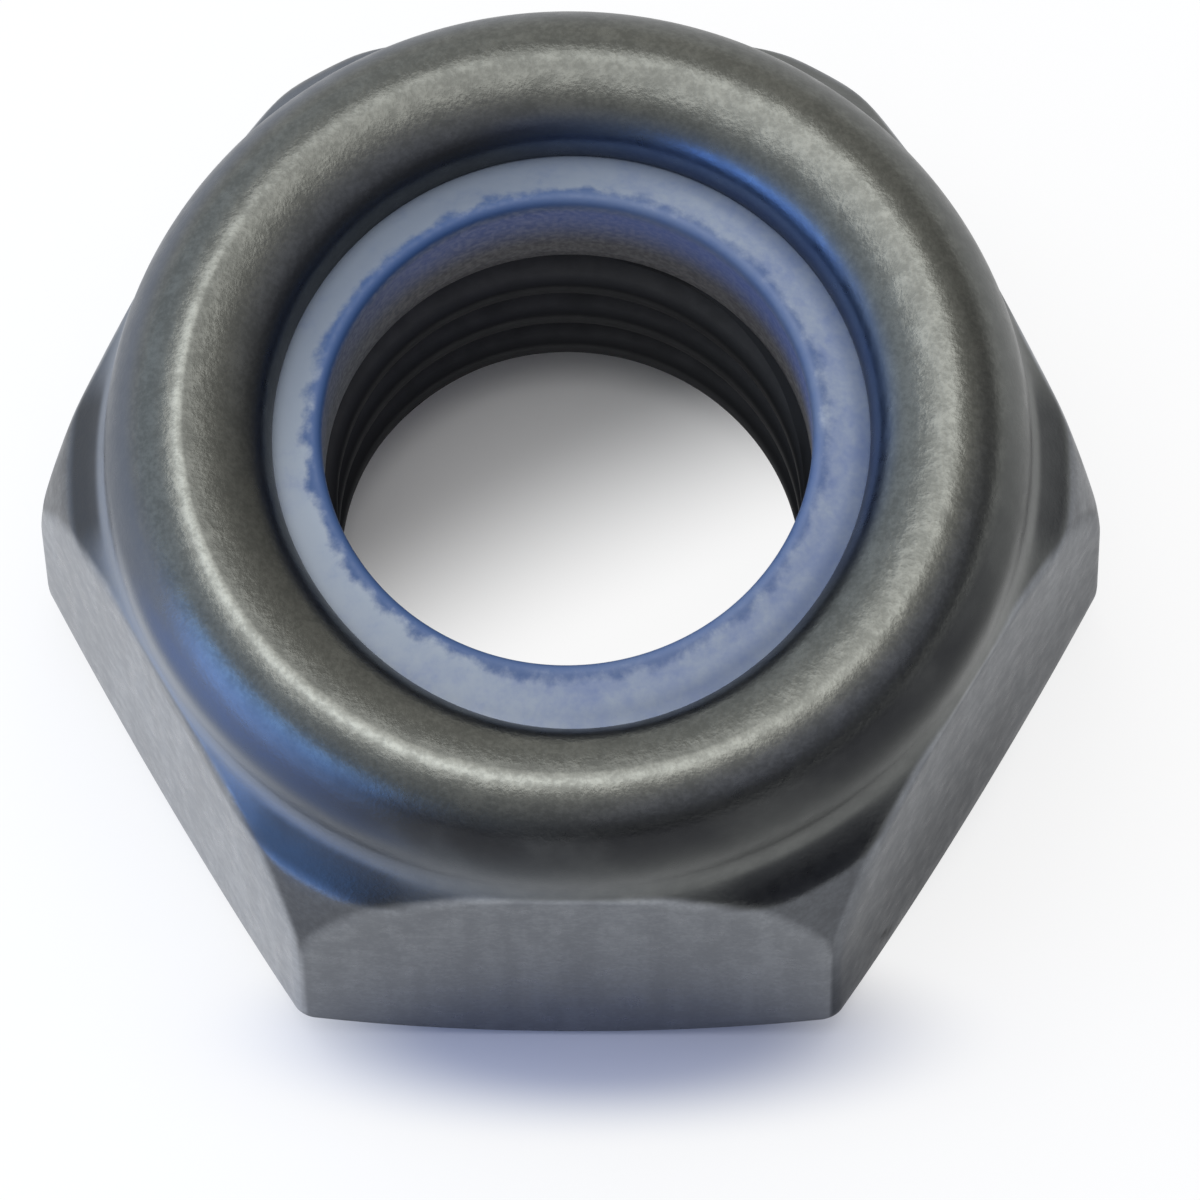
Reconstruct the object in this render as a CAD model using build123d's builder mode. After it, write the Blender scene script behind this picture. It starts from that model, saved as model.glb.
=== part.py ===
from build123d import *

import os
from math import radians, sqrt, tan

# Prevailing-torque hexagon nut with a nylon insert, metric size M10 (millimetres).
# The origin is the centre of the bearing face, +Z points to the insert end, and two
# opposite flats of the hexagon face -Y and +Y.

# Hexagon
across_flats = 17.0
overall_height = 10.0
bearing_diameter = 16.5  # flat ring that bears on the joint
bearing_chamfer_angle = 30.0  # corner chamfer round the bearing face, above horizontal
corner_taper_angle = 16.0  # taper on the upper ends of the corners, from the axis
forged_crown_radius = 12.0  # slight bulge of the chamfer and of the taper
corner_edge_radius = 0.3

# Tapped hole
thread_minor_diameter = 8.5  # crests of the M10 x 1.5 thread
countersink_diameter = 10.8
countersink_angle = 90.0  # included angle
thread_lead_in = 0.25  # 45 degree chamfer where the thread meets the pocket

# Shoulder between the hexagon and the collar
shoulder_diameter = 18.4
shoulder_slope = 45.0  # at the rim, above horizontal
flare_height = 0.35  # last part of the concave root, where the collar turns upright

# Crimped collar
collar_height = 3.3  # from the rim of the shoulder to the crest
collar_diameter = 16.9
collar_thickness = 1.1
crest_setback = 1.45  # from the outside of the collar in to its highest circle
lip_opening_diameter = 11.2
lip_edge_thickness = 0.2
pocket_corner_radius = 0.6  # inside the bend of the crimp
lip_droop = 0.3  # how far the underside of the crimp falls from the pocket wall to the lip

# Nylon insert
insert_bore_diameter = 8.9
insert_thickness = 2.25  # at the edge of the lip
insert_clearance = 0.03  # between the insert and the pocket wall and crimp
insert_bulge = 0.48  # rise of the exposed face from the lip to the bore
insert_rim_chamfer = 0.2

# Radii of the circles that the section is drawn through
bearing_radius = bearing_diameter / 2
corner_radius = across_flats / sqrt(3)
bore_radius = thread_minor_diameter / 2
countersink_radius = countersink_diameter / 2
shoulder_radius = shoulder_diameter / 2
collar_radius = collar_diameter / 2
pocket_radius = collar_radius - collar_thickness
crest_radius = collar_radius - crest_setback
lip_radius = lip_opening_diameter / 2
insert_bore_radius = insert_bore_diameter / 2
insert_outer_radius = pocket_radius - insert_clearance

# Heights above the bearing face
chamfer_height = (corner_radius - bearing_radius) * tan(radians(bearing_chamfer_angle))
countersink_depth = (countersink_radius - bore_radius) / tan(radians(countersink_angle / 2))
shoulder_height = overall_height - collar_height
taper_height = shoulder_height - (corner_radius - shoulder_radius) / tan(radians(corner_taper_angle))
root_height = shoulder_height + (shoulder_radius - collar_radius) * tan(radians(shoulder_slope))
flare_top_height = root_height + flare_height
crimp_height = overall_height - collar_thickness  # underside of the crimp below the crest
lip_bottom_height = crimp_height - lip_droop
lip_top_height = lip_bottom_height + lip_edge_thickness
insert_face_height = lip_bottom_height - insert_clearance  # at the edge of the lip
insert_rim_height = insert_face_height + insert_bulge
pocket_floor_height = insert_face_height - insert_thickness

# Steel body: one turned section, cut by the hexagon
with BuildPart() as nut_body:
    with BuildSketch(Plane.XZ) as body_section:
        with BuildLine() as body_outline:
            # bearing face, corner chamfer, corner and upper taper
            Line((countersink_radius, 0), (bearing_radius, 0))
            RadiusArc((bearing_radius, 0), (corner_radius, chamfer_height), -forged_crown_radius)
            Line((corner_radius, chamfer_height), (corner_radius, taper_height))
            RadiusArc((corner_radius, taper_height), (shoulder_radius, shoulder_height), -forged_crown_radius)
            # concave root of the collar, from the slope of the shoulder to upright
            Bezier(
                (shoulder_radius, shoulder_height),
                (collar_radius, root_height),
                (collar_radius, flare_top_height),
            )
            # outside of the bend up to the crest, then the inner slope down to the lip
            EllipticalCenterArc(
                center=(crest_radius, flare_top_height),
                x_radius=collar_radius - crest_radius,
                y_radius=overall_height - flare_top_height,
                start_angle=0,
                arc_size=90,
            )
            EllipticalCenterArc(
                center=(crest_radius, lip_top_height),
                x_radius=crest_radius - lip_radius,
                y_radius=overall_height - lip_top_height,
                start_angle=90,
                arc_size=90,
            )
            # lip edge, underside of the crimp, pocket, thread lead-in, bore and countersink
            Polyline(
                (lip_radius, lip_top_height),
                (lip_radius, lip_bottom_height),
                (pocket_radius, crimp_height),
                (pocket_radius, pocket_floor_height),
                (bore_radius + thread_lead_in, pocket_floor_height),
                (bore_radius, pocket_floor_height - thread_lead_in),
                (bore_radius, countersink_depth),
                (countersink_radius, 0),
            )
        make_face()
        pocket_corner = body_section.vertices().sort_by_distance((pocket_radius, crimp_height))[0]
        fillet(pocket_corner, radius=pocket_corner_radius)
    revolve(axis=Axis.Z)
    with BuildSketch(Plane.XY) as hexagon:
        RegularPolygon(radius=across_flats / 2, side_count=6, major_radius=False)
        fillet(hexagon.vertices(), radius=corner_edge_radius)
    extrude(amount=overall_height, mode=Mode.INTERSECT)

# Nylon insert: seated on the pocket floor and held down by the crimp
with BuildPart() as nylon_insert:
    with BuildSketch(Plane.XZ) as insert_section:
        with BuildLine() as insert_outline:
            Polyline(
                (insert_bore_radius, insert_rim_height),
                (insert_bore_radius, pocket_floor_height),
                (insert_outer_radius, pocket_floor_height),
                (insert_outer_radius, crimp_height - insert_clearance),
                (lip_radius, insert_face_height),
                close=True,
            )
        make_face()
        bore_corners = insert_section.vertices().group_by(Axis.X)[0]
        chamfer(bore_corners.sort_by(Axis.Y)[-1], length=insert_rim_chamfer)
        outer_corners = insert_section.vertices().group_by(Axis.X)[-1]
        chamfer(outer_corners.sort_by(Axis.Y)[-1], length=pocket_corner_radius)
    revolve(axis=Axis.Z)

nut_body.part.label = "nut_body"
nylon_insert.part.label = "nylon_insert"

os.makedirs("parts", exist_ok=True)
for piece in (nut_body.part, nylon_insert.part):
    export_step(piece, f"parts/{piece.label}.step")
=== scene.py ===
import math
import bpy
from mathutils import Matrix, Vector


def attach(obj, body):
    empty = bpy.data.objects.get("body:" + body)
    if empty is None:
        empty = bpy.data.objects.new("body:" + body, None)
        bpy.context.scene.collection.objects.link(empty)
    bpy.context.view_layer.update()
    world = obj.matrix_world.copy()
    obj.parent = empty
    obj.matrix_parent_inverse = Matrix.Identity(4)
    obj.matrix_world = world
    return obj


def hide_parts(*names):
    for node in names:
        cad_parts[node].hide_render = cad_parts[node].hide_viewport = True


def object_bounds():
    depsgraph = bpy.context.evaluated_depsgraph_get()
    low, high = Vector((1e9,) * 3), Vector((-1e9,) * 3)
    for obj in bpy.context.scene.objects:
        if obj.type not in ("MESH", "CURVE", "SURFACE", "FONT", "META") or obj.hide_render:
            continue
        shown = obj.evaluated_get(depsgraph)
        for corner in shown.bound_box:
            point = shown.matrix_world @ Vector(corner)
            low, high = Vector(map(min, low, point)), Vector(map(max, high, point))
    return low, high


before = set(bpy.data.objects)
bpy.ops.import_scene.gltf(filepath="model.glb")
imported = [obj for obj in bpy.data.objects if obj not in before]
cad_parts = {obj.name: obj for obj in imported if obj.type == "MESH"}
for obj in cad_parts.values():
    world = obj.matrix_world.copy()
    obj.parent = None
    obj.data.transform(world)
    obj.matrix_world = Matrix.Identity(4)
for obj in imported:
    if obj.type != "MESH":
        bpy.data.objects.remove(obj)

from types import SimpleNamespace

import bmesh
import bpy
import numpy as np
from mathutils import Matrix, Vector

cad_box = [list(corner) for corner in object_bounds()]

MM = 0.001

# ---------------------------------------------------------------- sizes in mm, as in the CAD source
FLAT = round(cad_box[1][1] / MM, 3)      # from the axis to a flat
HEIGHT = round(cad_box[1][2] / MM, 3)
CORNER_R = 2 * FLAT / math.sqrt(3)       # from the axis to a corner before it is rounded
BEARING_R = 8.25
CHAMFER_Z = (CORNER_R - BEARING_R) * math.tan(math.radians(30))
CROWN_R = 12.0                           # slight bulge of the chamfer and the taper
CHAMFER_SINE, TAPER_SINE = 0.5, 0.96     # of their slopes above the horizontal
SHOULDER_R = 9.2
COLLAR_HEIGHT = 3.3                      # from the shoulder to the crest
SHOULDER_Z = HEIGHT - COLLAR_HEIGHT
TAPER_Z = SHOULDER_Z - (CORNER_R - SHOULDER_R) / math.tan(math.radians(16))
COLLAR_R = 8.45
ROOT_Z = SHOULDER_Z + SHOULDER_R - COLLAR_R
WALL_Z = ROOT_Z + 0.35                   # where the collar turns upright
CREST_R = 7.0
LIP_R = 5.6
LIP_Z = 8.6                              # underside of the lip
LIP_TOP_Z = 8.8
POCKET_R = 7.35
FLOOR_Z = 6.32                           # pocket floor
COUNTERSINK_R = 5.4
THREAD_MINOR = 4.25
LEAD_IN = 0.25
INSERT_R = 4.45
INSERT_OUTER = 7.32
INSERT_EDGE_Z = 8.57                     # exposed face at the lip

# ---------------------------------------------------------------- sizes in mm that only this mesh has
THREAD_MAJOR = 5.0
PITCH = 1.5
EDGE_R = 0.45                            # rounding of the upright corners, softer than the 0.3 of the CAD
FOOT_SOFTNESS = 0.05                     # chamfer to taper
SHOULDER_SOFTNESS = 0.07                 # taper to root
FLAT_SOFTNESS = 0.28                     # turned form to flats


def smooth_min(a, b, k):
    """The lesser of two radii, with the corner between them rounded over the distance k."""
    h = np.clip(0.5 + 0.5 * (b - a) / k, 0, 1)
    return b + (a - b) * h - k * h * (1 - h)


def hexagon_radius(theta):
    """Distance from the axis to the hexagon, with its upright corners rounded."""
    t = np.abs((theta + math.pi / 6) % (math.pi / 3) - math.pi / 6)   # from the nearest corner
    flat = FLAT / np.cos(math.pi / 6 - t)
    centre = CORNER_R - EDGE_R / math.cos(math.pi / 6)
    tangent = math.atan2(EDGE_R * math.sin(math.pi / 6), centre + EDGE_R * math.cos(math.pi / 6))
    arc = centre * np.cos(t) + np.sqrt(np.maximum(EDGE_R ** 2 - (centre * np.sin(t)) ** 2, 0))
    return np.where(t < tangent, arc, flat)


def crowned(u, start, end, sine):
    """Radius at the share u of the way along a line that bulges slightly, square to its own slope."""
    chord = math.hypot(end[0] - start[0], end[1] - start[1])
    inside = np.clip(u, 0, 1)
    bulge = chord ** 2 / (8 * CROWN_R) * 4 * inside * (1 - inside) / sine
    return start[0] + (end[0] - start[0]) * u + bulge


def chamfer_radius(z):
    """The chamfer round the bearing face, carried on a little past its top."""
    return crowned(np.clip(z / CHAMFER_Z, 0, 1.3), (BEARING_R, 0), (CORNER_R, CHAMFER_Z), CHAMFER_SINE)


def taper_radius(z):
    """The taper on the upper ends of the corners."""
    u = (z - TAPER_Z) / (SHOULDER_Z - TAPER_Z)
    return crowned(u, (CORNER_R, TAPER_Z), (SHOULDER_R, SHOULDER_Z), TAPER_SINE)


ROOT_T = np.linspace(0, 1, 60)
ROOT_CURVE_R = SHOULDER_R * (1 - ROOT_T) ** 2 + COLLAR_R * (1 - (1 - ROOT_T) ** 2)
ROOT_CURVE_Z = SHOULDER_Z * (1 - ROOT_T) ** 2 + 2 * ROOT_Z * ROOT_T * (1 - ROOT_T) + WALL_Z * ROOT_T ** 2


def root_radius(z):
    """The concave root between the shoulder and the collar."""
    curve = np.interp(z, ROOT_CURVE_Z, ROOT_CURVE_R)
    return np.where(z < SHOULDER_Z, SHOULDER_R + SHOULDER_Z - z, curve)


def turned_radius(z):
    """The turned form that the hexagon cuts."""
    upper = smooth_min(taper_radius(z), root_radius(z), SHOULDER_SOFTNESS)
    return smooth_min(chamfer_radius(z), upper, FOOT_SOFTNESS)


def outer_radius(theta, z):
    """Outside of the nut from the bearing face up to the foot of the collar wall."""
    softness = FLAT_SOFTNESS * np.clip((WALL_Z - 0.15 - z) / 0.9, 0.03, 1)   # less and less near the wall
    return smooth_min(turned_radius(z), hexagon_radius(theta), softness)


def height_where(radius_of, low, high, wanted, rising):
    """Height at which a turned outline reaches the wanted radius, by halving."""
    a, b = np.full_like(wanted, low), np.full_like(wanted, high)
    for _ in range(40):
        middle = (a + b) / 2
        under = (radius_of(middle) < wanted) == rising
        a, b = np.where(under, middle, a), np.where(under, b, middle)
    return (a + b) / 2


# ---------------------------------------------------------------- columns, closer together at the corners
near_corner = [0.0, 0.25, 0.5, 0.72, 0.94, 1.25, 1.7, 2.3]     # degrees
half_sector = near_corner + list(np.linspace(3.1, 30, 27))
sector = sorted(set([round(a, 4) for a in half_sector] + [round(60 - a, 4) for a in half_sector]))[:-1]
THETA = np.radians(np.array([s + 60 * k for k in range(6) for s in sector]))
COLUMNS = len(THETA)


def ring_rows(points):
    """Rows of the same (radius, height) right round the axis."""
    return [(np.full_like(THETA, r), np.full_like(THETA, z)) for r, z in points]


def outside_rows():
    """Rows up the outside, drawn together where the chamfer, the flats, the taper and the shoulder meet."""
    reach = hexagon_radius(THETA)
    low = height_where(chamfer_radius, 0, CHAMFER_Z, reach, True)
    high = height_where(turned_radius, 2.0, WALL_Z, reach, False)
    beside_edge = np.array([-0.12, -0.07, -0.03, 0.0, 0.03, 0.07, 0.12])
    beside_shoulder = (-0.4, -0.2, -0.08, -0.03, 0.02, 0.06, 0.12, 0.22, 0.34, 0.46, 0.58, 0.7, 0.82)
    levels = [np.full_like(THETA, 0.04 + 0.05 * k) + (low - 0.2) * k / 6 for k in range(6)]
    levels += [low + d for d in beside_edge]
    levels += [low + (high - low) * s for s in np.linspace(0.08, 0.95, 12)]
    levels += [high + d for d in beside_edge]
    levels += [np.full_like(THETA, SHOULDER_Z + d) for d in beside_shoulder]
    levels = np.sort(np.clip(np.array(levels), 0.03, WALL_Z - 0.05), axis=0)
    return [(outer_radius(THETA, z), z) for z in levels]


def crest_arc(reach, foot_z, angles):
    """Points on an ellipse about the crest circle, from the height of its foot up to the crest."""
    return [(CREST_R + reach * math.cos(a), foot_z + (HEIGHT - foot_z) * math.sin(a)) for a in angles]


def opening_radius():
    """Edge of the crimped lip: a little oval, off the axis, and drawn back at the front."""
    oval = LIP_R - 0.135 + 0.07 * np.cos(THETA) - 0.035 * np.cos(2 * THETA)
    return oval + 0.27 * np.clip(np.cos(THETA + math.radians(85)), 0, 1) ** 4


def collar_rows():
    """Rows over the bend and the crest, down to the lip, and round the pocket."""
    outside = crest_arc(COLLAR_R - CREST_R, WALL_Z, np.linspace(0, math.pi / 2, 26))
    inside = crest_arc(CREST_R - LIP_R, LIP_TOP_Z, np.linspace(math.pi / 2, math.pi, 26)[1:])
    lip = [(LIP_R, LIP_Z + 0.06), (LIP_R + 0.02, LIP_Z + 0.02), (LIP_R + 0.06, LIP_Z + 0.01)]
    pocket = [(6.6, 8.775), (6.9, 8.83), (7.15, 8.78), (7.3, 8.6), (POCKET_R, 8.3), (POCKET_R, 7.3),
              (POCKET_R, FLOOR_Z), (6.4, FLOOR_Z), (5.4, FLOOR_Z), (THREAD_MINOR + LEAD_IN + 0.5, FLOOR_Z)]
    opening = opening_radius()
    rows = ring_rows(outside)
    for r, z in inside + lip:
        share = min((CREST_R - r) / (CREST_R - LIP_R), 1) ** 2
        rows.append((r + share * (opening - LIP_R), np.full_like(THETA, z)))
    return rows + ring_rows(pocket)


# ---------------------------------------------------------------- right-hand thread, on rows that climb
THREAD_TOP = FLOOR_Z
THREAD_BOTTOM = 0.35
PER_TURN = 16            # rows
CREST_AT_BACK = 5.15     # height of a crest where the thread passes the back of the bore
HALF_CREST = 0.14        # flat of a crest and of a valley, as shares of the pitch
HALF_VALLEY = 0.09


def thread_radius(phase):
    """Radius of the bare thread, phase 0 to 1 from the middle of one crest to the next."""
    rise = (np.abs((phase + 0.5) % 1 - 0.5) - HALF_CREST) / (0.5 - HALF_CREST - HALF_VALLEY)
    rise = np.clip(rise, 0, 1)
    flank = 0.85 * rise + 0.15 * rise * rise * (3 - 2 * rise)
    return THREAD_MINOR + (THREAD_MAJOR - THREAD_MINOR) * flank


def bore_radius(theta, z):
    """The thread, opened by the countersink below and by the lead-in above."""
    phase = (z - CREST_AT_BACK) / PITCH - (theta - math.pi / 2) / (2 * math.pi)
    run_out = 0.3 * np.clip(z, 0, 1) * np.clip((2.0 - z) / 0.8, 0, 1)
    countersink = COUNTERSINK_R - z + run_out
    lead_in = THREAD_MINOR + LEAD_IN + (z - FLOOR_Z)
    return np.maximum(np.maximum(thread_radius(phase), countersink), lead_in)


def thread_rows():
    """Rows from the pocket floor down; each drops one pitch over a turn, so row i meets row i + PER_TURN."""
    count = int(math.ceil((THREAD_TOP - THREAD_BOTTOM) / PITCH * PER_TURN)) + 1
    rows = []
    for i in range(-PER_TURN, count + 1):
        z = THREAD_TOP - i * PITCH / PER_TURN - (1 - THETA / (2 * math.pi)) * PITCH
        z = np.clip(z, THREAD_BOTTOM, THREAD_TOP)
        rows.append((bore_radius(THETA, z), z))
    return rows


def thread_faces(count, start):
    """Quads between the thread's rows; past the seam a row goes on as the one that lies a turn higher."""
    faces = []
    for i in range(count - 1):
        for j in range(COLUMNS):
            k = (j + 1) % COLUMNS
            upper, lower = (i - PER_TURN, i + 1 - PER_TURN) if k == 0 else (i, i + 1)
            here, below = start + i * COLUMNS + j, start + (i + 1) * COLUMNS + j
            if upper >= 0:
                faces.append((here, start + upper * COLUMNS + k, start + lower * COLUMNS + k, below))
            elif lower == 0:
                faces.append((here, start + k, below))
    return faces


# ---------------------------------------------------------------- meshes
def mesh_object(name, verts, faces, sharp):
    """A smooth-shaded mesh, with edges sharper than that many degrees left sharp."""
    mesh = bpy.data.meshes.new(name)
    mesh.from_pydata([tuple(v) for v in verts], [], [tuple(int(i) for i in f) for f in faces])
    work = bmesh.new()
    work.from_mesh(mesh)
    bmesh.ops.remove_doubles(work, verts=work.verts, dist=2e-7)
    bmesh.ops.dissolve_degenerate(work, dist=1e-7, edges=work.edges)
    bmesh.ops.recalc_face_normals(work, faces=work.faces)
    work.to_mesh(mesh)
    work.free()
    mesh.shade_smooth()
    mesh.set_sharp_from_angle(angle=math.radians(sharp))
    obj = bpy.data.objects.new(name, mesh)
    bpy.context.scene.collection.objects.link(obj)
    return obj


def row_points(rows):
    """The points of rows, in metres."""
    r = np.array([row[0] for row in rows])
    z = np.array([row[1] for row in rows])
    return np.stack([r * np.cos(THETA), r * np.sin(THETA), z], axis=-1).reshape(-1, 3) * MM


def bore_ring(z):
    """The points of one level row round the bore."""
    level = np.full_like(THETA, z)
    return row_points([(bore_radius(THETA, level), level)])


def band(first, second):
    """Quads between the rows whose first points have those numbers."""
    after = [(j + 1) % COLUMNS for j in range(COLUMNS)]
    return [(first + j, first + k, second + k, second + j) for j, k in enumerate(after)]


def build_body():
    """The steel body: outside, collar, pocket and thread, joined by level rings at the ends of the thread."""
    bearing = ring_rows([(COUNTERSINK_R + 0.05, 0.0), (6.3, 0.0), (7.3, 0.0), (BEARING_R - 0.12, 0.0),
                         (BEARING_R - 0.03, 0.006)])
    plain = bearing + outside_rows() + collar_rows()
    thread = thread_rows()
    start = len(plain) * COLUMNS
    rim_top = start + len(thread) * COLUMNS
    rim_low = rim_top + COLUMNS
    foot = rim_low + COLUMNS
    foot_ring = row_points(ring_rows([(COUNTERSINK_R - 0.02, 0.03)]))
    rings = [bore_ring(THREAD_TOP), bore_ring(THREAD_BOTTOM), foot_ring]
    points = np.concatenate([row_points(plain + thread)] + rings)
    faces = []
    for i in range(len(plain) - 1):
        faces += band(i * COLUMNS, (i + 1) * COLUMNS)
    faces += thread_faces(len(thread), start)
    faces += band(start - COLUMNS, rim_top)
    faces += band(rim_low, foot)
    faces += band(foot, 0)
    return mesh_object("nut_body_dressed", points, faces, sharp=40)


def build_insert():
    """The nylon ring: exposed face with its rounded rim, bore, and the part hidden in the pocket."""
    face = [(6.05, 8.61), (5.8, 8.59), (LIP_R, INSERT_EDGE_Z), (5.4, 8.645), (5.2, 8.705), (5.0, 8.79),
            (4.85, 8.855), (4.75, 8.9), (4.68, 8.925), (4.62, 8.935), (4.56, 8.92), (4.51, 8.885),
            (4.475, 8.83), (4.455, 8.76), (INSERT_R, 8.65)]
    wall = [(INSERT_R, z) for z in (8.3, 7.9, 7.5, 7.1, 6.7)]
    wall += [(INSERT_R + 0.01, 6.4), (INSERT_R + 0.06, FLOOR_Z + 0.01)]
    hidden = [(5.5, FLOOR_Z), (6.6, FLOOR_Z), (INSERT_OUTER, FLOOR_Z), (INSERT_OUTER, 7.3),
              (INSERT_OUTER, 8.1), (6.9, 8.6), (6.7, 8.73), (6.4, 8.68)]
    rows = ring_rows(face + wall + hidden)
    faces = []
    for i in range(len(rows)):
        faces += band(i * COLUMNS, (i + 1) % len(rows) * COLUMNS)
    return mesh_object("nylon_insert_dressed", row_points(rows), faces, sharp=50)


body = build_body()
insert = build_insert()

for piece, node, slot in ((body, "nut_body", "steel"), (insert, "nylon_insert", "nylon")):
    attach(piece, "root")
    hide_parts(node)


# ---------------------------------------------------------------- node trees
class Nodes:
    """Short calls for building one node tree."""

    def __init__(self, tree):
        self.tree = tree
        tree.nodes.clear()

    def add(self, kind, **settings):
        node = self.tree.nodes.new("ShaderNode" + kind)
        for key, value in settings.items():
            setattr(node, key, value)
        return node

    def put(self, socket, value):
        """Link a socket to a value, or set it; a colour is given without its alpha."""
        if isinstance(value, bpy.types.NodeSocket):
            self.tree.links.new(value, socket)
        elif socket.type == "RGBA":
            socket.default_value = (*value, 1)
        else:
            socket.default_value = value

    def math(self, operation, *values):
        node = self.add("Math", operation=operation)
        for socket, value in zip(node.inputs, values):
            self.put(socket, value)
        return node.outputs[0]

    def chain(self, operation, values):
        """One operation over two or more values, from the left."""
        result = values[0]
        for value in values[1:]:
            result = self.math(operation, result, value)
        return result

    def plus(self, *values):
        return self.chain("ADD", values)

    def times(self, *values):
        return self.chain("MULTIPLY", values)

    def most(self, *values):
        return self.chain("MAXIMUM", values)

    def length(self, across, along):
        """Length of a vector from its two parts."""
        return self.math("SQRT", self.plus(self.times(across, across), self.times(along, along)))

    def toward(self, at, across, along):
        """How far a point lies in a level direction from the axis."""
        return self.plus(self.times(at.x, across), self.times(at.y, along))

    def vector(self, operation, *values, output=0):
        node = self.add("VectorMath", operation=operation)
        for socket, value in zip(node.inputs, values):
            self.put(socket, value)
        return node.outputs[output]

    def step(self, value, low, high, to_low=0.0, to_high=1.0):
        """Smooth change from one level to the other between two values."""
        node = self.add("MapRange", interpolation_type="SMOOTHSTEP")
        for socket, item in zip(node.inputs, (value, low, high, to_low, to_high)):
            self.put(socket, item)
        return node.outputs[0]

    def window(self, value, low, high, soft):
        """1 inside a range and 0 outside it, with soft ends."""
        above = self.step(value, low - soft, low + soft)
        return self.times(above, self.step(value, high + soft, high - soft))

    def mix(self, factor, first, second):
        node = self.add("Mix", data_type="RGBA")
        for socket, value in zip((node.inputs[0], node.inputs[6], node.inputs[7]), (factor, first, second)):
            self.put(socket, value)
        return node.outputs[2]

    def noise(self, where, scale, detail=3.0, roughness=0.5):
        node = self.add("TexNoise")
        self.put(node.inputs["Vector"], where)
        self.put(node.inputs["Scale"], scale)
        self.put(node.inputs["Detail"], detail)
        self.put(node.inputs["Roughness"], roughness)
        return node.outputs[0]

    def millimetres(self):
        """Position on the object in mm, whole and split, and its distance from the axis."""
        place = self.vector("SCALE", self.add("TexCoord").outputs["Object"])
        place.node.inputs["Scale"].default_value = 1 / MM
        split = self.add("SeparateXYZ")
        self.put(split.inputs[0], place)
        x, y, z = split.outputs
        return SimpleNamespace(place=place, x=x, y=y, z=z, radius=self.length(x, y))


def material(name):
    made = bpy.data.materials.new(name)
    made.use_nodes = True
    nodes = Nodes(made.node_tree)
    shader = nodes.add("BsdfPrincipled")
    output = nodes.add("OutputMaterial")
    nodes.put(output.inputs[0], shader.outputs[0])
    return made, nodes, shader, output


# ---------------------------------------------------------------- steel; heights, radii and distances in mm
COLLAR_DARK, COLLAR_PALE = (0.117, 0.12, 0.110), (0.166, 0.17, 0.156)
# painted shade for the inner flank at the front left and the crest at the back left
FLANK_CREST_SHADE = (0.04, 0.042, 0.04)
# BEND_LEFT is a painted bluish reflection of the brighter light at the left
BEND_RIGHT, BEND_LEFT = (0.125, 0.13, 0.126), (0.125, 0.145, 0.185)
# painted light on the flare below the bend, palest at the left
FLARE_RIGHT, FLARE_LEFT = (0.26, 0.265, 0.26), (0.38, 0.41, 0.46)
# painted blue reflection on the outer bend at the front left
BEND_BLUE = (0.09, 0.14, 0.28)
SHOULDER_DARK, SHOULDER_PALE = (0.15, 0.155, 0.165), (0.19, 0.20, 0.215)
FLAT_DARK, FLAT_PALE = (0.33, 0.345, 0.37), (0.43, 0.45, 0.48)
# painted shade for the front, the foot and the right front of the hexagon
HEX_SHADE = (0.03, 0.033, 0.04)
# painted shade for the front of the outer bend
BEND_SHADE = (0.032, 0.033, 0.036)
# painted shade, partly dark patina, for the hollows above the shoulder
HOLLOW_SHADE = (0.05, 0.052, 0.055)
# painted shade under the lip, plain and with a painted blue reflection
LIP_SHADE, LIP_SHADE_BLUE = (0.08, 0.083, 0.088), (0.05, 0.10, 0.24)
# painted blue reflection on the inner slope at the right back
LIP_BLUE = (0.17, 0.24, 0.38)
PIT = (0.012, 0.012, 0.014)
PIT_PLACE = (5.81, -6.94, 0.86)          # its height is counted at three quarters, which draws it out upright
# rubbed wear and painted highlight along the crest
RUBBED_SHEEN = (0.265, 0.275, 0.255)
RUBBED_SHEEN_X, RUBBED_SHEEN_Y = -0.022, -0.098      # centre of the rubbed ring, which also carries a painted highlight
OILY = (0.048, 0.049, 0.052)
GRAIN_HEIGHT = 0.03 * MM
SPECULAR_CLEAN, SPECULAR_SHADE_AND_OIL = (0.75, 0.75, 0.75), (0.3, 0.3, 0.3)


def hexagon_distance(n, at):
    """How far a point lies from the axis toward the nearest flat."""
    most = n.math("ABSOLUTE", at.y)
    for cosine, sine in ((0.866, 0.5), (0.866, -0.5)):
        most = n.most(most, n.math("ABSOLUTE", n.toward(at, cosine, sine)))
    return most


def collar_tones(n, at):
    """Mottled collar, with painted shade on the inner flank at the front left and on the crest at the back
    left.
    """
    flank = n.times(n.step(at.radius, 7.0, 6.93), n.step(at.radius, 6.5, 6.85, 0.15, 0.42))
    flank = n.times(flank, n.step(n.plus(at.x, at.y), 2.0, -5.0))
    rear = n.step(n.toward(at, -0.5, 0.87), 2.5, 6.5, 0.0, 0.27)
    rear = n.times(rear, n.step(at.radius, 7.35, 7.15))
    return n.mix(n.most(flank, rear), n.mix(at.tone, COLLAR_DARK, COLLAR_PALE), FLANK_CREST_SHADE)


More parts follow.
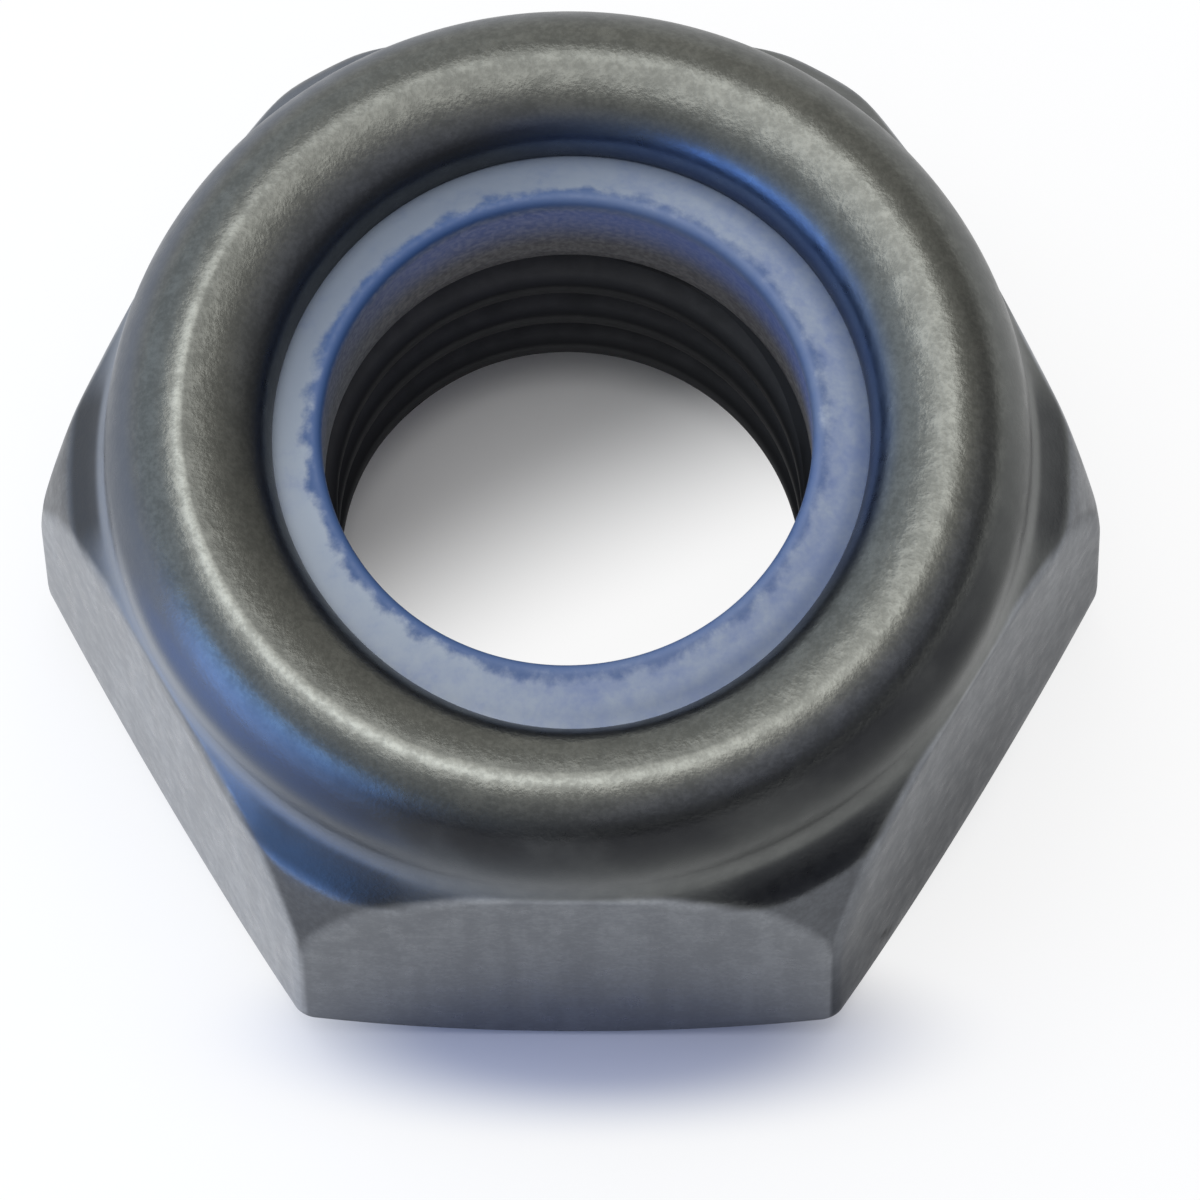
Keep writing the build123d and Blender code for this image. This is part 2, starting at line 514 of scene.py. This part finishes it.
def bend_tones(n, at, colour):
    """Outer bend, with a painted bluish reflection toward the left, painted light where it flares out below,
    palest at the left, and a painted blue reflection at the front left.
    """
    outer = n.times(n.step(at.radius, 7.2, 7.8), n.step(at.z, 9.8, 9.3))
    # painted bluish reflection toward the left
    colour = n.mix(n.times(outer, 0.8), colour, n.mix(n.step(at.x, 3.0, -6.0), BEND_RIGHT, BEND_LEFT))
    # painted light where the bend flares out, faint at the front and palest at the left
    flare = n.most(n.step(at.front, 7.0, 1.0, 0.15, 0.85), n.step(at.x, 6.0, 8.0, 0.0, 0.95))
    flare = n.times(flare, n.window(at.z, 7.42, 8.4, 0.35))
    colour = n.mix(flare, colour, n.mix(n.step(at.x, 4.0, -7.0), FLARE_RIGHT, FLARE_LEFT))
    # painted blue reflection at the front left
    blue = n.times(n.step(at.front_left, 7.3, 8.1, 0.0, 0.6), n.window(at.z, 8.5, 9.1, 0.25))
    return n.mix(blue, colour, BEND_BLUE)


def hexagon_tones(n, at, colour):
    """Shoulder, and brighter flats with faint upright streaks."""
    streaks = n.noise(n.vector("MULTIPLY", at.place, (1, 1, 0.12)), 1.6, 4, 0.6)
    flats = n.mix(n.step(n.plus(n.times(at.tone, 0.35), streaks), 0.45, 1.0), FLAT_DARK, FLAT_PALE)
    colour = n.mix(n.step(at.z, 6.85, 6.65), colour, n.mix(at.tone, SHOULDER_DARK, SHOULDER_PALE))
    return n.mix(n.times(n.step(at.hexagon, 8.36, 8.48), n.step(at.z, 7.6, 7.25)), colour, flats)


def hex_shade_share(n, at):
    """Share of painted shade: toward the front, on the foot, and most on the lower left of the flat at the
    right front.
    """
    front = n.step(at.front, 3.0, 6.3, 0.0, 0.45)
    front = n.times(front, n.step(n.toward(at, -0.866, -0.5), 8.46, 8.36))
    right = n.times(n.step(n.toward(at, 0.866, -0.5), 8.3, 8.45), n.step(at.z, 7.0, 1.5, 0.45, 0.75))
    right = n.times(right, n.step(n.toward(at, 0.5, 0.866), 5.0, -2.0, 0.75, 1.0))
    foot = n.times(n.step(at.z, 0.95, 0.6), n.step(at.hexagon, 8.48, 8.36, 0.0, 0.6))
    return n.times(n.most(front, foot, right), n.step(at.z, 7.5, 7.2))


def bend_shade_share(n, at):
    """Painted shade on the front of the outer bend."""
    heights = n.times(n.step(at.z, 9.68, 9.35), n.step(at.z, 7.6, 9.2))
    return n.times(heights, n.step(at.front, 1.5, 7.0), n.step(at.radius, 7.2, 7.8))


def hollow_tones(n, at, colour):
    """Painted shade, partly dark patina, in the hollow above the shoulder at all but the two back corners,
    and beside it at the front left.
    """
    hollow = n.step(n.math("DIVIDE", at.hexagon, at.radius), 0.96, 0.92)
    hollow = n.times(hollow, n.window(at.z, 6.8, 7.42, 0.1), n.step(at.y, 4.5, 1.5))
    # painted shade in the hollows
    colour = n.mix(n.times(hollow, 0.78), colour, HOLLOW_SHADE)
    # painted shade beside the hollow at the front left
    beside = n.times(n.step(at.front_left, 7.8, 8.4, 0.0, 0.35), n.window(at.z, 6.85, 7.5, 0.12))
    return n.mix(beside, colour, HOLLOW_SHADE)


def lip_tones(n, at, colour):
    """Painted shade under the roll of the lip, with a painted blue reflection in it beside the nylon at the
    right back, and more painted blue reflection on the inner slope above.
    """
    blue_side = n.step(n.toward(at, 0.8, 0.6), 1.5, 5.0)
    # painted shade under the roll of the lip, bluer at the right back
    lip = n.times(n.step(n.plus(at.radius, n.times(at.cloud, 0.5)), 6.15, 5.8), n.step(at.z, 8.3, 8.5))
    colour = n.mix(n.times(lip, 0.6), colour, n.mix(blue_side, LIP_SHADE, LIP_SHADE_BLUE))
    # painted blue reflection on the inner slope at the right back
    above = n.times(n.window(at.z, 9.15, 9.55, 0.25), n.step(at.radius, 6.4, 5.9, 0.0, 0.7))
    return n.mix(n.times(above, blue_side), colour, LIP_BLUE)


def pit_tones(n, at, colour):
    """A small dark pit low on the flat at the right front."""
    away = n.vector("DISTANCE", n.vector("MULTIPLY", at.place, (1, 1, 0.75)), PIT_PLACE, output=1)
    away = n.plus(away, n.times(n.plus(at.mottle, -0.5), 0.8))
    return n.mix(n.step(away, 0.3, 0.05, 0.0, 0.75), colour, PIT)


def crest_tones(n, at, colour):
    """Crest rubbed bright along its highest line, most at the front left: partly real wear, partly a painted
    highlight.
    """
    line = n.length(n.plus(at.x, -RUBBED_SHEEN_X), n.plus(at.y, -RUBBED_SHEEN_Y))
    line = n.times(n.window(line, 6.96, 7.11, 0.08), n.step(at.z, 9.6, 9.9))
    line = n.times(line, n.step(n.toward(at, -0.75, -0.66), 0.0, 7.0, 0.25, 1.0))
    return n.mix(n.times(line, n.step(at.tone, 0.0, 0.9, 0.4, 0.85)), colour, RUBBED_SHEEN)


def steel_bump(n, at):
    """Fine grain, fainter on the outer bend and at the lip."""
    bump = n.add("Bump")
    strength = n.times(n.step(at.radius, 7.6, 7.2, 0.07, 0.15), n.step(at.radius, 5.9, 6.5, 0.3, 1.0))
    n.put(bump.inputs["Strength"], strength)
    n.put(bump.inputs["Distance"], GRAIN_HEIGHT)
    n.put(bump.inputs["Height"], at.tone)
    return bump.outputs[0]


def steel_material():
    made, n, shader, _ = material("steel")
    at = n.millimetres()
    at.cloud = n.noise(at.place, 0.5, 4)
    at.mottle = n.noise(at.place, 2.4, 4, 0.6)
    grain = n.noise(at.place, 10.0, 3, 0.6)
    at.tone = n.step(n.plus(n.times(at.mottle, 0.5), n.times(grain, 0.5)), 0.36, 0.66)
    at.hexagon = hexagon_distance(n, at)
    at.front = n.toward(at, 0.34, -0.94)
    at.front_left = n.toward(at, -0.707, -0.707)
    hex_shade, bend_shade = hex_shade_share(n, at), bend_shade_share(n, at)
    bore = n.times(n.step(at.radius, 5.5, 5.1), n.step(at.z, 6.6, 6.4))
    colour = hexagon_tones(n, at, bend_tones(n, at, collar_tones(n, at)))
    # painted shade on the front, the foot and the right front of the hexagon
    colour = n.mix(hex_shade, colour, HEX_SHADE)
    # painted shade on the front of the outer bend, in patches
    colour = n.mix(n.times(bend_shade, n.step(at.cloud, 0.3, 0.6, 0.75, 0.95)), colour, BEND_SHADE)
    for tones in (hollow_tones, lip_tones, pit_tones, crest_tones):
        colour = tones(n, at, colour)
    colour = n.mix(bore, colour, OILY)
    # lower specular tint under the painted shade, and in the oily bore
    shade_and_oil = n.most(hex_shade, n.times(n.most(bend_shade, bore), 0.6))
    rougher = n.most(n.times(bore, 0.3), n.times(n.window(at.z, 7.25, 8.0, 0.3), 0.15))
    n.put(shader.inputs["Base Color"], colour)
    n.put(shader.inputs["Metallic"], 1.0)
    n.put(shader.inputs["Specular Tint"], n.mix(shade_and_oil, SPECULAR_CLEAN, SPECULAR_SHADE_AND_OIL))
    n.put(shader.inputs["Roughness"], n.plus(n.step(at.mottle, 0.3, 0.7, 0.34, 0.27), rougher))
    n.put(shader.inputs["Normal"], steel_bump(n, at))
    return made


# ---------------------------------------------------------------- nylon; heights, radii and distances in mm
NYLON_BLUE, NYLON_PALE = (0.175, 0.23, 0.40), (0.34, 0.39, 0.46)
# painted shadow of the crimp on the back left of the face
BACK_SHADOW = (0.05, 0.075, 0.13)
# painted shade along the lip on the right of the face
EDGE_SHADE = (0.04, 0.075, 0.17)
RIM_BLUE = (0.03, 0.08, 0.22)
# painted shade down the bore wall and at its left
WALL_TOP, WALL_FOOT, WALL_LEFT = (0.08, 0.135, 0.36), (0.03, 0.03, 0.04), (0.03, 0.045, 0.07)


def nylon_face(n, at):
    """Pale in scuffed patches and more so toward the left, clearer blue at the right, with a painted shadow
    at the back left and painted shade along the lip at the right.
    """
    cloud = n.noise(at.place, 0.6, 4)
    scuff = n.plus(n.times(cloud, 0.6), n.plus(n.times(at.mottle, 0.5), n.times(at.grain, 0.25)))
    pale = n.step(n.plus(n.toward(at, -0.032, 0.012), scuff), 0.28, 0.85)
    colour = n.mix(pale, NYLON_BLUE, NYLON_PALE)
    # painted shadow of the crimp at the back left
    colour = n.mix(n.step(n.toward(at, -0.6, 0.8), 1.5, 5.0, 0.0, 0.5), colour, BACK_SHADOW)
    # painted shade along the lip at the right
    right_edge = n.times(n.step(at.radius, 5.05, 5.4), n.step(at.x, -1.5, 3.5, 0.0, 0.42))
    return n.mix(right_edge, colour, EDGE_SHADE)


def nylon_rim(n, at, colour):
    """Saturated blue on the ragged inner rim."""
    ragged = n.plus(at.radius, n.times(at.mottle, 0.55))
    rim = n.times(n.step(ragged, 5.14, 4.9), n.step(at.z, 8.05, 8.6))
    return n.mix(n.times(rim, n.step(at.x, 2.0, -3.0, 0.7, 0.95)), colour, RIM_BLUE)


def nylon_wall(n, at, colour):
    """The wall of the bore, with painted shade darker toward its foot and at the left."""
    wall = n.times(n.step(at.radius, 4.6, 4.5), n.step(at.z, 8.75, 8.45))
    deep = n.mix(n.step(at.z, 8.4, 6.9), WALL_TOP, WALL_FOOT)
    return n.mix(wall, colour, n.mix(n.step(at.x, -2.5, -4.3, 0.0, 0.75), deep, WALL_LEFT))


def nylon_material():
    made, n, shader, _ = material("nylon")
    at = n.millimetres()
    at.mottle = n.noise(at.place, 2.2, 4, 0.6)
    at.grain = n.noise(at.place, 9.0, 3)
    n.put(shader.inputs["Base Color"], nylon_wall(n, at, nylon_rim(n, at, nylon_face(n, at))))
    n.put(shader.inputs["Roughness"], n.step(at.grain, 0.3, 0.7, 0.42, 0.6))
    return made


body.data.materials.append(steel_material())
insert.data.materials.append(nylon_material())

# ---------------------------------------------------------------- floor
FLOOR_HALF = 0.6                         # metres
FLOOR_WHITE = (0.95, 0.95, 0.95)
POOL = (0.52, 0.54, 0.66)                # bluish shadow in front of the nut
POOL_X, POOL_Y = 0.5, -8.5               # its centre in mm, and how much its width and depth count
POOL_ACROSS, POOL_ALONG = 0.34, 1.2


def floor_material():
    """White floor that keeps the shadow in front of the nut, deepened there by a painted bluish shadow, and
    is plain white further off.
    """
    made, n, shader, output = material("floor")
    at = n.millimetres()
    pool = n.length(n.times(n.plus(at.x, -POOL_X), POOL_ACROSS), n.times(n.plus(at.y, -POOL_Y), POOL_ALONG))
    # painted bluish shadow in front of the nut
    n.put(shader.inputs["Base Color"], n.mix(n.step(pool, 3.4, 0.4), FLOOR_WHITE, POOL))
    n.put(shader.inputs["Roughness"], 0.9)
    share = n.times(n.step(pool, 0.9, 2.7), n.step(at.radius, 6.0, 9.0, 0.0, 0.8))
    # painted light: a glow on the floor through the hole, strongest toward its front
    through = n.step(n.toward(at, -0.55, 1.0), 3.8, -1.0, 0.0, 0.9)
    share = n.most(share, n.times(through, n.step(at.radius, 6.4, 6.0)))
    rays = n.add("LightPath").outputs
    seen = n.most(rays["Is Camera Ray"], rays["Is Glossy Ray"], rays["Is Transmission Ray"])
    blend = n.add("MixShader")
    n.put(blend.inputs[0], n.times(seen, share))
    n.put(blend.inputs[1], shader.outputs[0])
    n.put(blend.inputs[2], n.add("Emission").outputs[0])
    n.put(output.inputs[0], blend.outputs[0])
    return made


def build_floor():
    corners = [(x * FLOOR_HALF, y * FLOOR_HALF, 0) for x, y in ((-1, -1), (1, -1), (1, 1), (-1, 1))]
    mesh = bpy.data.meshes.new("floor")
    mesh.from_pydata(corners, [], [(0, 1, 2, 3)])
    mesh.materials.append(floor_material())
    made = bpy.data.objects.new("floor", mesh)
    bpy.context.scene.collection.objects.link(made)
    return made


floor = build_floor()

# ---------------------------------------------------------------- camera, fitted to the outline in the photo
ELEVATION, AZIMUTH, ROLL = math.radians(69.2), math.radians(2.35), math.radians(-1.74)
DISTANCE = 300 * MM
PIXELS_PER_MM = 54.5                     # at the target
FRAME = 1200                             # pixels across and down
TARGET = Vector((0, 0, HEIGHT / 2 * MM))
TARGET_PIXEL = (570.2, 508.5)            # where the photo shows it


def looking(direction):
    """Rotation of a camera that looks that way, rolled as the photo is."""
    return direction.to_track_quat("-Z", "Y") @ Matrix.Rotation(ROLL, 4, "Z").to_quaternion()


def build_camera():
    level = math.cos(ELEVATION)
    away = Vector((math.sin(AZIMUTH) * level, -math.cos(AZIMUTH) * level, math.sin(ELEVATION)))
    turn = looking(-away)
    right, up = turn @ Vector((1, 0, 0)), turn @ Vector((0, 1, 0))
    pixel = MM / PIXELS_PER_MM
    aim = TARGET + right * (FRAME / 2 - TARGET_PIXEL[0]) * pixel - up * (FRAME / 2 - TARGET_PIXEL[1]) * pixel
    data = bpy.data.cameras.new("camera")
    data.lens = PIXELS_PER_MM * DISTANCE / MM * data.sensor_width / FRAME
    data.clip_start, data.clip_end = 0.01, 10
    made = bpy.data.objects.new("camera", data)
    made.location = TARGET + away * DISTANCE
    made.rotation_mode = "QUATERNION"
    made.rotation_quaternion = looking(aim - made.location)
    bpy.context.scene.collection.objects.link(made)
    return made


bpy.context.scene.camera = build_camera()

# ---------------------------------------------------------------- light
LIT_Z = 0.004                            # height that the lamps face, in metres
KEY_DISTANCE = 0.3
KEY_R = KEY_DISTANCE * math.tan(math.radians(27))
KEY_RADIANCE = 1.5
CARD_DISTANCE = 0.034
CARD_WIDTH, CARD_HEIGHT = 0.027, 0.019
CARD_RADIANCE = 2.1
CARD_BLUE = (0.12, 0.39, 1.0)


def lamp(name, azimuth, elevation, distance):
    """An area light in that direction from the nut, which faces it."""
    a, e = math.radians(azimuth), math.radians(elevation)
    target = Vector((0, 0, LIT_Z))
    offset = Vector((math.cos(a) * math.cos(e), math.sin(a) * math.cos(e), math.sin(e))) * distance
    made = bpy.data.objects.new(name, bpy.data.lights.new(name, "AREA"))
    made.location = target + offset
    made.rotation_mode = "QUATERNION"
    made.rotation_quaternion = (-offset).to_track_quat("-Z", "Y")
    bpy.context.scene.collection.objects.link(made)
    return made.data


key = lamp("key", azimuth=128, elevation=79, distance=KEY_DISTANCE)
key.shape = "DISK"
key.size = 2 * KEY_R
key.energy = KEY_RADIANCE * math.pi * math.pi * KEY_R ** 2

card = lamp("blue_card", azimuth=-144, elevation=9, distance=CARD_DISTANCE)
card.shape = "RECTANGLE"
card.size, card.size_y = CARD_WIDTH, CARD_HEIGHT
card.energy = CARD_RADIANCE * math.pi * CARD_WIDTH * CARD_HEIGHT
card.color = CARD_BLUE

# ---------------------------------------------------------------- world, with a window at the back left
TOWARD_WINDOW = (-0.766, 0.643, 0)
SKY_WARM, SKY_COOL, SKY_FAR = (1.0, 0.98, 0.94), (0.84, 0.95, 1.12), (0.86, 0.9, 1.16)


def build_world():
    made = bpy.data.worlds.new("studio")
    made.use_nodes = True
    w = Nodes(made.node_tree)
    direction = w.add("TexCoord").outputs["Generated"]
    split = w.add("SeparateXYZ")
    w.put(split.inputs[0], direction)
    across, _, height = split.outputs
    window = w.vector("DOT_PRODUCT", direction, TOWARD_WINDOW, output=1)
    level = w.most(w.step(window, -0.9, 1.0, 0.07, 1.0), w.step(height, 0.1, 0.6, 0.0, 0.5))
    level = w.plus(level, w.times(w.math("POWER", w.most(height, 0), 6), 0.75))
    sky = w.mix(w.step(across, 0.2, -1.0), SKY_WARM, SKY_COOL)
    sky = w.mix(w.step(window, -0.2, -0.9), sky, SKY_FAR)
    background = w.add("Background")
    w.put(background.inputs[0], sky)
    w.put(background.inputs[1], level)
    w.put(w.add("OutputWorld").inputs[0], background.outputs[0])
    return made


bpy.context.scene.world = build_world()
bpy.context.scene.view_settings.view_transform = "Standard"
